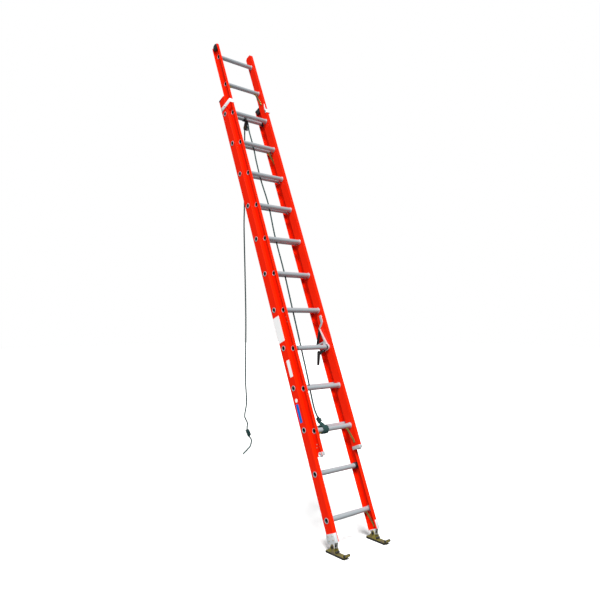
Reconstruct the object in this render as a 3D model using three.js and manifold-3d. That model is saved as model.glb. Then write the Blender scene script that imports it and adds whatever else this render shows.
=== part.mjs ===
// Two-section fibreglass extension ladder, set up leaning, in millimetres, +Z up.
// Inside the leaning group: x runs across the ladder, y towards the wall, z up along the rails,
// with the base rungs' axes in the plane y = 0 and the lower ends of the base rails at z = 0.
import * as THREE from 'three';
import { mergeVertices } from 'three/addons/utils/BufferGeometryUtils.js';
import Module from 'manifold-3d';

// Driving dimensions
const LEAN = THREE.MathUtils.degToRad(22.4); // from the vertical
const RUNG_PITCH = 304.8;
const RUNG_COUNT = 12;
const RAIL_DEPTH = 78;
const RAIL_WALL = 4.5;
const RAIL_CORNER = 3;
const BASE_WIDTH = 414;
const BASE_FLANGE = 29;
const FLY_FLANGE = 23;
const SIDE_PLAY = 2.5; // between a base flange's lip and the fly's web
const SLIDE_PLAY = 0.5; // between the interlocked flanges, front to back
const BASE_FIRST_RUNG = 140.8; // above the base rail's lower end
const FLY_FIRST_RUNG = 174.7; // above the fly rail's lower end
const RAIL_PAST_RUNG = 130.1; // fly rail's length above its top rung's axis
const EXTENDED_PITCHES = 2; // how far the fly is raised at rest
const LOCK_DROP = 25.7; // fly rung below the base rung that its lock holds
const RUNG_DIAMETER = 35;
const RUNG_WALL = 3;
const RUNG_FLARE = 2.5; // how far the swaged end stands out all round
const FLARE_THICKNESS = 1.8;
const RUNG_SIDES = 12;
const GAP = 0.3; // left between pieces that touch

const BOOT_WALL = 3;
const BOOT_TOP = 58; // above the rail's lower end
const BOOT_FLANGE = 24;
const TONGUE_DEPTH = 42;
const FLY_CLEARANCE = 28; // from the rungs' plane to where the lowered fly's rear flange passes
const PIVOT_DROP = 24; // shoe pivot below the rail's lower end
const PIVOT_HEIGHT = 51.4; // shoe pivot above the floor
const PIN_PLAY = 0.5;
const SHOE_BOLT = 10;
const SHOE_BOLT_HEAD = 18;
const BOLT_HEAD_THICKNESS = 5;
const EAR_THICKNESS = 3.5;
const SHOE_TOE = 125; // ahead of the pivot
const SHOE_HEEL = 63; // behind the pivot
const TREAD_TOE = 96;
const TREAD_THICKNESS = 12;
const TREAD_OVERHANG = 3;

const GUIDE_WALL = 3;
const GUIDE_BAND = 36;
const GUIDE_ABOVE_RUNG = 46; // band's lower edge above the base's top rung's axis
const GUIDE_LIP = 12;
const GUIDE_LEG = 92; // height of the leg on the fly web's inner side
const TOP_ROUND = 26; // radius of the fly rails' rounded upper corners
const BOTTOM_CAP_LENGTH = 24;
const CAP_WALL = 2.5;
const BRACE_WALL = 3;
const BRACE_WIDTH = 16;
const BRACE_FOOT = 18;

const LOCK_RUNG = 3; // fly rung, counted from below, that carries the rung locks
const HOOK_WIDTH = 14;
const HOOK_EYE_WALL = 6;
const HOOK_BAR = 9;
const HOOK_HEIGHT = 158; // above the fly rung's axis
const HOOK_REACH = 31; // behind the base rung's axis
const FINGER_WIDTH = 12;
const FINGER_PIN = 8;
const PLATE_WALL = 3;
const PLATE_BELOW_RUNG = 29.3; // lock plate's top below the fly's next rung

const ROPE = 11;
const SHEAVE_CORE = 19.2;
const SHEAVE_RIM = 28;
const SHEAVE_WIDTH = 14;
const AXLE = 8;
const CHEEK_WALL = 2.5;
const CHEEK_PLAY = 1;
const CHEEK_MARGIN = 1.5; // how far the cheeks stand out past the sheave's rim
const CHEEK_TOP = 7.5;
const BLOCK_DROP = 57; // sheave axle below the block's own pivot
const HANGER_WALL = 3.2;
const HANGER_BAND = 24;
const HANGER_TAB = 5;
const HANGER_FORWARD = 22; // block's pivot ahead of the top rung's axis
const HANGER_DROP = 35.6; // block's pivot below the top rung's axis
const PULLEY_X = -10;
const ROPE_ON_SHEAVE = 25; // from the sheave's axis to the rope's centreline
const TIE_X = -86;
const TIE_TURNS = 5;

// The hauling strand's route: [x, distance ahead of the base rungs' axes, height along the rails].
const HAUL_ROUTE = [
  [-10, 27, 3371], [-15, 29, 3335], [-17, 32, 3240], [-21, 34, 3113], [-27, 34, 3039], [-31, 34, 2834],
  [-20, 34, 2610], [-39, 34, 2290], [-41, 34, 1978], [-54, 34, 1673], [-66, 34, 1394], [-80, 34, 1108],
  [-88, 34, 1004], [-94, 36, 876], [-90, 44, 815],
];
// The free strand's route: [x, distance below the sheave's axis].
const FREE_ROUTE = [
  [-10, 35], [-10, 400], [-10, 687], [-13, 852], [-2, 1241], [9, 1676], [8, 2200], [19, 2399], [2, 2515],
  [29, 2572], [26, 2622],
];
const TAIL_ROUTE = [[50, 2688], [72, 2725], [59, 2773], [35, 2795], [-15, 2831]];

// Sizes that follow
const baseWeb = BASE_WIDTH / 2; // outer face of the base web
const flyWeb = baseWeb - BASE_FLANGE - SIDE_PLAY; // outer face of the fly web
const flyLip = flyWeb - RAIL_WALL + FLY_FLANGE;
const sectionSpacing = RAIL_DEPTH - 2 * RAIL_WALL - SLIDE_PLAY;
const baseRungZ = (n) => BASE_FIRST_RUNG + (n - 1) * RUNG_PITCH;
const flyFoot = baseRungZ(1) + EXTENDED_PITCHES * RUNG_PITCH - LOCK_DROP - FLY_FIRST_RUNG;
const flyRungZ = (n) => flyFoot + FLY_FIRST_RUNG + (n - 1) * RUNG_PITCH;
const rungRadius = RUNG_DIAMETER / 2;
const railLength = FLY_FIRST_RUNG + (RUNG_COUNT - 1) * RUNG_PITCH + RAIL_PAST_RUNG;

// Materials
const finish = (color, roughness, metalness) => () =>
  new THREE.MeshStandardMaterial({ color, roughness, metalness });
const fibreglass = finish(0xf2300a, 0.45, 0);
const aluminium = finish(0xc9ccd0, 0.35, 0.9);
const castAluminium = finish(0xd9dbdc, 0.55, 0.6);
const zincSteel = finish(0x9a8f3c, 0.4, 0.8);
const blackRubber = finish(0x161616, 0.85, 0);
const blackPlastic = finish(0x1b1b1c, 0.5, 0);
const blackSteel = finish(0x222224, 0.4, 0.7);
const whiteSteel = finish(0xe4e7e8, 0.35, 0.6);
const ropeFibre = finish(0x5f7a72, 0.9, 0);

// Solid modelling helpers
const wasm = await Module();
wasm.setup();

function toSolid(geometry) {
  const bare = geometry.clone();
  bare.deleteAttribute('normal');
  bare.deleteAttribute('uv');
  const merged = mergeVertices(bare, 1e-4);
  return new wasm.Manifold(new wasm.Mesh({
    numProp: 3,
    vertProperties: new Float32Array(merged.attributes.position.array),
    triVerts: new Uint32Array(merged.index.array),
  }));
}

function toGeometry(solid) {
  const mesh = solid.getMesh();
  const geometry = new THREE.BufferGeometry();
  geometry.setAttribute('position', new THREE.BufferAttribute(mesh.vertProperties, 3));
  geometry.setIndex(new THREE.BufferAttribute(mesh.triVerts, 1));
  return geometry;
}

const join = (geometries) => toGeometry(geometries.map(toSolid).reduce((a, b) => a.add(b)));
const cut = (geometry, tools) =>
  toGeometry(toSolid(geometry).subtract(tools.map(toSolid).reduce((a, b) => a.add(b))));

function outline(points) {
  return new THREE.Shape(points.map(([u, v]) => new THREE.Vector2(u, v)));
}

// An outline in (x, y), extruded from z0 to z1.
function alongZ(shape, z0, z1, curveSegments = 3) {
  const geometry = new THREE.ExtrudeGeometry(shape, { depth: z1 - z0, bevelEnabled: false, curveSegments });
  return geometry.translate(0, 0, z0);
}

// An outline in (y, z), extruded from x0 to x1.
function alongX(shape, x0, x1, curveSegments = 6) {
  const geometry = new THREE.ExtrudeGeometry(shape, { depth: x1 - x0, bevelEnabled: false, curveSegments });
  return geometry.applyMatrix4(new THREE.Matrix4().makeBasis(
    new THREE.Vector3(0, 1, 0), new THREE.Vector3(0, 0, 1), new THREE.Vector3(1, 0, 0))).translate(x0, 0, 0);
}

// An outline in (x, z), extruded from y0 to y1.
function alongY(shape, y0, y1) {
  const geometry = new THREE.ExtrudeGeometry(shape, { depth: y1 - y0, bevelEnabled: false });
  return geometry.applyMatrix4(new THREE.Matrix4().makeBasis(
    new THREE.Vector3(1, 0, 0), new THREE.Vector3(0, 0, 1), new THREE.Vector3(0, -1, 0))).translate(0, y1, 0);
}

// A rod along x, centred on (y, z).
function rodX(radius, x0, x1, y = 0, z = 0, sides = 16) {
  const geometry = new THREE.CylinderGeometry(radius, radius, x1 - x0, sides);
  return geometry.rotateZ(Math.PI / 2).translate((x0 + x1) / 2, y, z);
}

// A profile of [radius, x] points, turned about the x axis.
function turnedX(profile, sides, x = 0) {
  const points = profile.map(([r, u]) => new THREE.Vector2(r, u));
  return new THREE.LatheGeometry(points, sides).rotateZ(-Math.PI / 2).translate(x, 0, 0);
}

function mirrored(geometry) {
  const flipped = geometry.clone().applyMatrix4(new THREE.Matrix4().makeScale(-1, 1, 1));
  const source = flipped.index ? flipped.toNonIndexed() : flipped;
  const position = source.attributes.position;
  for (let i = 0; i < position.count; i += 3) {
    for (const axis of ['X', 'Y', 'Z']) {
      const first = position[`get${axis}`](i + 1);
      position[`set${axis}`](i + 1, position[`get${axis}`](i + 2));
      position[`set${axis}`](i + 2, first);
    }
  }
  return source;
}

const ladder = new THREE.Group();
ladder.name = 'ladder';
ladder.rotation.x = -LEAN;

function place(group, name, geometry, material) {
  const mesh = new THREE.Mesh(geometry, material());
  mesh.name = name;
  group.add(mesh);
  return mesh;
}

// The geometry is drawn for the right-hand side, and mirrored for the left.
function placePair(group, name, geometry, material) {
  place(group, `right_${name}`, geometry, material);
  place(group, `left_${name}`, mirrored(geometry), material);
}

// Rails

// C section with its web's outer face at x = web and flanges reaching to x = lip.
function channel(web, lip, middleY) {
  const side = Math.sign(web - lip);
  const [front, rear] = [middleY - RAIL_DEPTH / 2, middleY + RAIL_DEPTH / 2];
  const inner = web - side * RAIL_WALL;
  const shape = new THREE.Shape();
  shape.moveTo(lip, front);
  shape.lineTo(web - side * RAIL_CORNER, front);
  shape.quadraticCurveTo(web, front, web, front + RAIL_CORNER);
  shape.lineTo(web, rear - RAIL_CORNER);
  shape.quadraticCurveTo(web, rear, web - side * RAIL_CORNER, rear);
  shape.lineTo(lip, rear);
  shape.lineTo(lip, rear - RAIL_WALL);
  shape.lineTo(inner, rear - RAIL_WALL);
  shape.lineTo(inner, front + RAIL_WALL);
  shape.lineTo(lip, front + RAIL_WALL);
  return shape;
}

function rail(web, lip, middleY, foot, rungZ) {
  const blank = alongZ(channel(web, lip, middleY), foot, foot + railLength, 2);
  const holes = [];
  for (let n = 1; n <= RUNG_COUNT; n += 1) {
    const [near, far] = [Math.min(web, lip), Math.max(web, lip)];
    holes.push(rodX(rungRadius + GAP, near - RAIL_WALL, far + RAIL_WALL, middleY, rungZ(n), RUNG_SIDES));
  }
  return cut(blank, holes);
}

// What is cut off the fly rail's upper end, in front (-1) or behind (1).
function roundedCorner(end) {
  const [edge, top] = [-sectionSpacing + end * RAIL_DEPTH / 2, flyFoot + railLength];
  const points = [[edge + end, top + 1], [edge - end * TOP_ROUND, top + 1]];
  for (let step = 0; step <= 6; step += 1) {
    const angle = Math.PI / 2 * step / 6;
    points.push([
      edge - end * TOP_ROUND * (1 - Math.sin(angle)), top - TOP_ROUND * (1 - Math.cos(angle)),
    ]);
  }
  points.push([edge + end, top - TOP_ROUND]);
  return alongX(outline(end > 0 ? points.reverse() : points), flyWeb - 2 * RAIL_WALL, flyLip + 1);
}

function addRails() {
  placePair(ladder, 'base_rail', rail(baseWeb, baseWeb - BASE_FLANGE, 0, 0, baseRungZ), fibreglass);
  // The fly's channel opens outwards, so that its rear flange runs behind the base's front flange.
  const square = rail(flyWeb - RAIL_WALL, flyLip, -sectionSpacing, flyFoot, flyRungZ);
  const fly = cut(square, [roundedCorner(-1), roundedCorner(1)]);
  placePair(ladder, 'fly_rail', fly, fibreglass);
}

// Rungs: a tube through both webs, its ends swaged out against their outer faces.

function rung(webFace) {
  const end = webFace + GAP + FLARE_THICKNESS;
  const bore = rungRadius - RUNG_WALL;
  const flare = rungRadius + RUNG_FLARE;
  const side = (x) => [
    [flare, x], [flare, x - Math.sign(x) * FLARE_THICKNESS], [rungRadius, x - Math.sign(x) * FLARE_THICKNESS],
  ];
  const profile = [[bore, -end], ...side(-end), ...side(end).reverse(), [bore, end], [bore, -end]];
  return turnedX(profile, RUNG_SIDES);
}

function addRungs() {
  for (let n = 1; n <= RUNG_COUNT; n += 1) {
    const label = String(n).padStart(2, '0');
    place(ladder, `base_rung_${label}`, rung(baseWeb), aluminium).position.z = baseRungZ(n);
    const fly = place(ladder, `fly_rung_${label}`, rung(flyWeb), aluminium);
    fly.position.set(0, -sectionSpacing, flyRungZ(n));
  }
}

// Feet

const bootOuter = baseWeb + GAP + BOOT_WALL;
const tongueInner = baseWeb - BASE_FLANGE;
const earGap = 0.6;

// Cast boot round the rail's lower end, with two tongues that carry the shoe's bolt.
function boot() {
  const half = RAIL_DEPTH / 2 + GAP;
  const lip = bootOuter - BOOT_FLANGE;
  const inner = baseWeb + GAP;
  const wrap = outline([
    [lip, -half - BOOT_WALL], [bootOuter, -half - BOOT_WALL], [bootOuter, half + BOOT_WALL],
    [lip, half + BOOT_WALL], [lip, half], [inner, half], [inner, -half], [lip, -half],
  ]);
  const floor = outline([
    [tongueInner, -FLY_CLEARANCE], [flyLip + 1, -FLY_CLEARANCE], [flyLip + 1, -half - BOOT_WALL],
    [bootOuter, -half - BOOT_WALL], [bootOuter, half + BOOT_WALL], [tongueInner, half + BOOT_WALL],
  ]);
  const tongue = new THREE.Shape();
  tongue.moveTo(-FLY_CLEARANCE, -BOOT_WALL - GAP);
  tongue.lineTo(-TONGUE_DEPTH / 2 + 4, -PIVOT_DROP);
  tongue.absarc(0, -PIVOT_DROP, TONGUE_DEPTH / 2 - 4, Math.PI, 2 * Math.PI);
  tongue.lineTo(FLY_CLEARANCE, -BOOT_WALL - GAP);
  const body = join([
    alongZ(wrap, -GAP - BOOT_WALL, BOOT_TOP),
    alongZ(floor, -GAP - BOOT_WALL, -GAP),
    alongX(tongue, bootOuter - BOOT_WALL, bootOuter),
    alongX(tongue, tongueInner, tongueInner + BOOT_WALL),
  ]);
  const hole = rodX(SHOE_BOLT / 2 + PIN_PLAY, tongueInner - BOOT_WALL, bootOuter + BOOT_WALL, 0, -PIVOT_DROP, 12);
  return cut(body, [hole]);
}

const earOuter = bootOuter + earGap + EAR_THICKNESS;
const earInner = tongueInner - earGap - EAR_THICKNESS;

function shoeBolt() {
  const radius = SHOE_BOLT / 2;
  const head = SHOE_BOLT_HEAD / 2;
  const [inner, outer] = [earInner - GAP, earOuter + GAP];
  return turnedX([
    [0, inner - BOLT_HEAD_THICKNESS], [head, inner - BOLT_HEAD_THICKNESS], [head, inner], [radius, inner],
    [radius, outer], [head, outer], [head, outer + BOLT_HEAD_THICKNESS], [0, outer + BOLT_HEAD_THICKNESS],
  ], 12);
}

// The shoe is drawn level, round its pivot.
function shoePlate() {
  const under = -PIVOT_HEIGHT + TREAD_THICKNESS + GAP;
  const thick = EAR_THICKNESS;
  const curl = 22; // rise of the curled toe
  const plate = new THREE.Shape();
  plate.moveTo(SHOE_HEEL, under);
  plate.lineTo(SHOE_HEEL, under + thick);
  plate.lineTo(-SHOE_TOE + curl + thick, under + thick);
  plate.quadraticCurveTo(-SHOE_TOE + thick, under + thick, -SHOE_TOE + thick, under + curl);
  plate.lineTo(-SHOE_TOE, under + curl);
  plate.quadraticCurveTo(-SHOE_TOE, under, -SHOE_TOE + curl, under);
  const ear = new THREE.Shape();
  ear.moveTo(-26, under);
  ear.lineTo(-12, 4);
  ear.absarc(2, 4, 14, Math.PI, 0, true);
  ear.lineTo(40, under);
  const body = join([
    alongX(plate, earInner, earOuter),
    alongX(ear, earInner, earInner + EAR_THICKNESS),
    alongX(ear, earOuter - EAR_THICKNESS, earOuter),
  ]);
  return cut(body, [rodX(SHOE_BOLT / 2 + PIN_PLAY, earInner - 5, earOuter + 5, 0, 0, 12)]);
}

function shoeTread() {
  const foot = -PIVOT_HEIGHT;
  const top = foot + TREAD_THICKNESS;
  const side = outline([
    [-TREAD_TOE, foot], [SHOE_HEEL - 4, foot], [SHOE_HEEL + 2, foot + 4], [SHOE_HEEL + 2, top],
    [-TREAD_TOE - 4, top], [-TREAD_TOE - 4, foot + 4],
  ]);
  return alongX(side, earInner - TREAD_OVERHANG, earOuter + TREAD_OVERHANG);
}

function addFeet() {
  placePair(ladder, 'boot', boot(), castAluminium);
  const bolts = new THREE.Group();
  bolts.position.z = -PIVOT_DROP;
  placePair(bolts, 'shoe_bolt', shoeBolt(), blackSteel);
  const shoes = new THREE.Group();
  shoes.position.z = -PIVOT_DROP;
  shoes.rotation.x = LEAN; // level on the floor
  placePair(shoes, 'shoe_plate', shoePlate(), zincSteel);
  placePair(shoes, 'shoe_tread', shoeTread(), blackRubber);
  ladder.add(bolts, shoes);
}

// Guide brackets at the base's top, round the fly's front flanges.
function addGuides() {
  const outer = baseWeb + GAP + GUIDE_WALL;
  const front = -sectionSpacing - RAIL_DEPTH / 2 - GAP;
  const inner = flyWeb - RAIL_WALL - GAP;
  const band = outline([
    [outer - GUIDE_WALL, RAIL_DEPTH / 2 - 6], [outer - GUIDE_WALL, front],
    [inner, front], [inner, front + GUIDE_LIP], [inner - GUIDE_WALL, front + GUIDE_LIP],
    [inner - GUIDE_WALL, front - GUIDE_WALL], [outer, front - GUIDE_WALL], [outer, RAIL_DEPTH / 2 - 6],
  ]);
  const foot = baseRungZ(RUNG_COUNT) + GUIDE_ABOVE_RUNG;
  const leg = outline([
    [front - GUIDE_WALL, foot], [front + GUIDE_LIP, foot], [front + GUIDE_LIP + 2, foot + GUIDE_LEG / 2],
    [front - 1, foot + GUIDE_LEG], [front - GUIDE_WALL, foot + GUIDE_LEG - 4],
  ]);
  const guide = join([alongZ(band, foot, foot + GUIDE_BAND), alongX(leg, inner - GUIDE_WALL, inner)]);
  placePair(ladder, 'guide', guide, whiteSteel);
}

// End pieces of the fly's rails.
function addFlyCaps() {
  const lip = flyLip;
  const front = -sectionSpacing - RAIL_DEPTH / 2;
  const baseFront = -RAIL_DEPTH / 2;
  const [near, far] = [front + RAIL_WALL + GAP, baseFront - GAP];
  const round = (far - near) / 2;
  const plug = rodX(round, flyWeb + GAP, lip - 1, near + round, flyFoot + railLength - round - 1, 28);
  placePair(ladder, 'fly_top_plug', plug, blackPlastic);

  const inside = flyWeb - RAIL_WALL - GAP;
  const [fore, aft] = [front - GAP, front + RAIL_DEPTH - RAIL_CORNER];
  const wrap = outline([
    [lip, fore], [inside, fore], [inside, aft], [inside - CAP_WALL, aft],
    [inside - CAP_WALL, fore - CAP_WALL], [lip, fore - CAP_WALL],
  ]);
  placePair(ladder, 'fly_foot_bracket', alongZ(wrap, flyFoot, flyFoot + BOTTOM_CAP_LENGTH), whiteSteel);
}

// Diagonal strap from a rung's underside down to the web.
function brace(webFace, rungZ, y, reach, drop) {
  const x1 = webFace - GAP;
  const top = rungZ - rungRadius - GAP;
  const x0 = x1 - reach;
  const t = BRACE_WALL;
  const strap = outline([
    [x0 - BRACE_FOOT, top], [x0, top], [x1, top - drop], [x1, top - drop - BRACE_FOOT],
    [x1 - t, top - drop - BRACE_FOOT], [x1 - t, top - drop - 1], [x0 - t, top - t], [x0 - BRACE_FOOT, top - t],
  ]);
  return alongY(strap, y - BRACE_WIDTH / 2, y + BRACE_WIDTH / 2);
}

function addBraces() {
  const baseFace = baseWeb - RAIL_WALL;
  const flyFace = flyWeb - RAIL_WALL;
  placePair(ladder, 'base_brace', brace(baseFace, baseRungZ(1), 0, 33, 90), zincSteel);
  placePair(ladder, 'fly_brace', brace(flyFace, flyRungZ(1), -sectionSpacing, 33, 90), zincSteel);
}

// Rung locks: a triangular hook that turns on a fly rung and sits on a base rung,
// a finger that reaches back under the base rung, and a plate on the fly's web beside it.
const hookOuter = flyWeb - RAIL_WALL - GAP - PLATE_WALL - GAP;
const fingerPin = [31.5, -18.3];

function lockHook() {
  const seat = LOCK_DROP + rungRadius + GAP;
  const rear = sectionSpacing + HOOK_REACH;
  const apex = [sectionSpacing - rungRadius - 14, HOOK_HEIGHT];
  const frame = outline([
    [-14, 14], [apex[0] - 12, apex[1]], [apex[0], apex[1]], [rear + 5, seat + 12], [rear + 5, seat],
    [rungRadius + HOOK_EYE_WALL + 4, seat], [30, 0], [fingerPin[0] + 9, fingerPin[1]],
    [fingerPin[0], fingerPin[1] - 9], [0, -20],
  ]);
  const window = outline([
    [12, seat + HOOK_BAR], [apex[0] - 8, apex[1] - 22], [rear - 11, seat + HOOK_BAR],
  ]);
  const [x0, x1] = [hookOuter - HOOK_WIDTH, hookOuter];
  const eye = rodX(rungRadius + HOOK_EYE_WALL, x0, x1, 0, 0, 18);
  const pin = rodX(FINGER_PIN / 2 - PIN_PLAY, x0 - FINGER_WIDTH - 2, x0 + 2, fingerPin[0], fingerPin[1], 12);
  return cut(join([alongX(frame, x0, x1), eye, pin]), [
    alongX(window, x0 - 1, x1 + 1), rodX(rungRadius + PIN_PLAY, x0 - 1, x1 + 1, 0, 0, 2 * RUNG_SIDES),
  ]);
}

function lockFinger() {
  const finger = new THREE.Shape();
  finger.absarc(0, 0, 9, Math.PI * 0.6, Math.PI * 1.6);
  finger.lineTo(58, -14);
  finger.lineTo(98, -84);
  finger.lineTo(112, -80);
  finger.lineTo(74, 8);
  finger.quadraticCurveTo(68, 22, 56, 19);
  finger.lineTo(40, 8);
  const x1 = hookOuter - HOOK_WIDTH - GAP;
  return cut(alongX(finger, x1 - FINGER_WIDTH, x1), [
    rodX(FINGER_PIN / 2, x1 - FINGER_WIDTH - 1, x1 + 1, 0, 0, 12),
  ]);
}

function lockPlate() {
  const top = RUNG_PITCH - rungRadius - PLATE_BELOW_RUNG;
  const tip = sectionSpacing - rungRadius - 6;
  const plate = outline([
    [-20, top], [4, top], [6, HOOK_HEIGHT + 42], [tip, HOOK_HEIGHT + 12], [tip, HOOK_HEIGHT - 8],
    [-2, HOOK_HEIGHT + 24], [-20, HOOK_HEIGHT + 42],
  ]);
  return alongX(plate, hookOuter + GAP, hookOuter + GAP + PLATE_WALL);
}

function addLocks() {
  const locks = new THREE.Group();
  locks.position.set(0, -sectionSpacing, flyRungZ(LOCK_RUNG));
  placePair(locks, 'lock_plate', lockPlate(), whiteSteel);
  placePair(locks, 'lock_hook', lockHook(), whiteSteel);
  const fingers = new THREE.Group();
  fingers.position.set(0, fingerPin[0], fingerPin[1]);
  placePair(fingers, 'lock_finger', lockFinger(), blackPlastic);
  locks.add(fingers);
  ladder.add(locks);
}

// Pulley on the base's top rung.
function hanger() {
  const ring = rungRadius + GAP + HANGER_WALL;
  const [x0, x1] = [PULLEY_X - HANGER_TAB / 2, PULLEY_X + HANGER_TAB / 2];
  const tab = outline([
    [-HANGER_FORWARD - 8, -HANGER_DROP + 2], [-HANGER_FORWARD - 4, -HANGER_DROP - 8],
    [-HANGER_FORWARD + 4, -HANGER_DROP - 8], [8, -12], [-16, 0],
  ]);
  const half = HANGER_BAND / 2;
  return cut(join([rodX(ring, PULLEY_X - half, PULLEY_X + half, 0, 0, 16), alongX(tab, x0, x1)]), [
    rodX(rungRadius + GAP, PULLEY_X - half - 1, PULLEY_X + half + 1, 0, 0, RUNG_SIDES),
    rodX(AXLE / 2, x0 - 1, x1 + 1, -HANGER_FORWARD, -HANGER_DROP, 12),
  ]);
}

const cheekInner = SHEAVE_WIDTH / 2 + CHEEK_PLAY;

function pulleyBlock() {
  const cheek = new THREE.Shape();
  const round = SHEAVE_RIM + CHEEK_MARGIN;
  cheek.absarc(0, 0, CHEEK_TOP, 0.25, Math.PI - 0.25);
  cheek.absarc(0, -BLOCK_DROP, round, Math.PI - 0.25, 2 * Math.PI + 0.25);
  const side = (x0, x1) => alongX(cheek, x0, x1, 10);
  const body = join([
    side(cheekInner, cheekInner + CHEEK_WALL), side(-cheekInner - CHEEK_WALL, -cheekInner),
    rodX(AXLE / 2 - PIN_PLAY, -cheekInner - 1, cheekInner + 1, 0, 0, 12),
  ]);
  const hole = rodX(AXLE / 2 + GAP, -cheekInner - 5, cheekInner + 5, 0, -BLOCK_DROP, 12);
  return cut(body, [hole]).translate(PULLEY_X, 0, 0);
}

function sheave() {
  const half = SHEAVE_WIDTH / 2;
  return turnedX([
    [AXLE / 2 + PIN_PLAY, -half], [SHEAVE_RIM, -half], [SHEAVE_RIM, -half + 1.5], [SHEAVE_CORE, -1.5],
    [SHEAVE_CORE, 1.5], [SHEAVE_RIM, half - 1.5], [SHEAVE_RIM, half], [AXLE / 2 + PIN_PLAY, half],
    [AXLE / 2 + PIN_PLAY, -half],
  ], 20, PULLEY_X);
}

function axle() {
  const reach = cheekInner + CHEEK_WALL + GAP;
  return turnedX([
    [0, -reach - 2.5], [AXLE * 0.8, -reach - 2.5], [AXLE * 0.8, -reach], [AXLE / 2, -reach],
    [AXLE / 2, reach], [AXLE * 0.8, reach], [AXLE * 0.8, reach + 2.5], [0, reach + 2.5],
  ], 12, PULLEY_X);
}

function addPulley() {
  const top = new THREE.Group();
  top.position.z = baseRungZ(RUNG_COUNT);
  place(top, 'pulley_hanger', hanger(), blackSteel);
  const block = new THREE.Group();
  block.position.set(0, -HANGER_FORWARD, -HANGER_DROP);
  block.rotation.x = LEAN; // hanging plumb
  place(block, 'pulley_block', pulleyBlock(), blackSteel);
  place(block, 'pulley_sheave', sheave(), aluminium).position.z = -BLOCK_DROP;
  place(block, 'pulley_axle', axle(), zincSteel).position.z = -BLOCK_DROP;
  top.add(block);
  ladder.add(top);
}

// Rope

function ropeAlong(points, steps) {
  const route = new THREE.CatmullRomCurve3(points, false, 'centripetal');
  const round = new THREE.Shape().absarc(0, 0, ROPE / 2, 0, 2 * Math.PI);
  return new THREE.ExtrudeGeometry(round, {
    extrudePath: route, steps, curveSegments: 4, bevelEnabled: false,
  });
}

// A knot, drawn as an egg shape leaning from one point to another.
function knot(from, to, radius) {
  const length = from.distanceTo(to);
  const egg = new THREE.SphereGeometry(1, 14, 10).scale(radius, length / 2, radius);
  const turn = new THREE.Quaternion().setFromUnitVectors(
    new THREE.Vector3(0, 1, 0), to.clone().sub(from).normalize());
  return egg.applyQuaternion(turn).translate(...from.clone().add(to).divideScalar(2).toArray());
}

// Turns of rope round the fly's lowest rung, and the knot the hauling strand ends in.
function tie() {
  const inner = rungRadius + GAP + 0.2;
  const profile = [[inner, 0]];
  for (let turn = 0; turn < TIE_TURNS; turn += 1) {
    for (let step = 0; step < 4; step += 1) {
      const angle = Math.PI * (step + 0.5) / 4;
      profile.push([inner + ROPE / 2 + ROPE / 2 * Math.sin(angle), ROPE * (turn + (1 - Math.cos(angle)) / 2)]);
    }
  }
  profile.push([inner, ROPE * TIE_TURNS], [inner, 0]);
  const coil = turnedX(profile, 18, TIE_X - ROPE * TIE_TURNS / 2);
  const bulge = knot(new THREE.Vector3(TIE_X - 3, 22, 58), new THREE.Vector3(TIE_X + 5, 12, 12), 12);
  return cut(join([coil, bulge]), [rodX(rungRadius + GAP, TIE_X - 60, TIE_X + 60, 0, 0, RUNG_SIDES)]);
}

function addRope() {
  const haul = HAUL_ROUTE.map(([x, ahead, z]) => new THREE.Vector3(x, -ahead, z));
  place(ladder, 'haul_strand', ropeAlong(haul, 70), ropeFibre);
  place(ladder, 'rope_tie', tie(), ropeFibre).position.set(0, -sectionSpacing, flyRungZ(1));

  const top = new THREE.Vector3(0, HANGER_FORWARD, 0).negate();
  const plumb = new THREE.Group();
  plumb.rotation.x = LEAN;
  plumb.position.set(0, top.y, baseRungZ(RUNG_COUNT) - HANGER_DROP);
  const below = ([x, drop]) => new THREE.Vector3(x, ROPE_ON_SHEAVE, -BLOCK_DROP - drop);
  place(plumb, 'free_strand', ropeAlong(FREE_ROUTE.map(below), 60), ropeFibre);
  const [from, to] = [below([22, 2624]), below([54, 2694])];
  const tail = ropeAlong(TAIL_ROUTE.map(below), 20);
  const end = cut(join([knot(from, to, 15), tail]), [knot(below([26, 2600]), below([26, 2626.5]), 30)]);
  place(plumb, 'rope_knot', end, ropeFibre);
  ladder.add(plumb);
}

addRails();
addRungs();
addFeet();
addGuides();
addFlyCaps();
addBraces();
addLocks();
addPulley();
addRope();

// The origin is on the floor, under the middle of the ladder.
ladder.updateMatrixWorld(true);
const box = new THREE.Box3().setFromObject(ladder, true);
ladder.position.set(0, -(box.min.y + box.max.y) / 2, -box.min.z);

const object = new THREE.Group();
object.add(ladder);

export default object;
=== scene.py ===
import math

import bpy
from mathutils import Matrix, Vector


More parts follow.
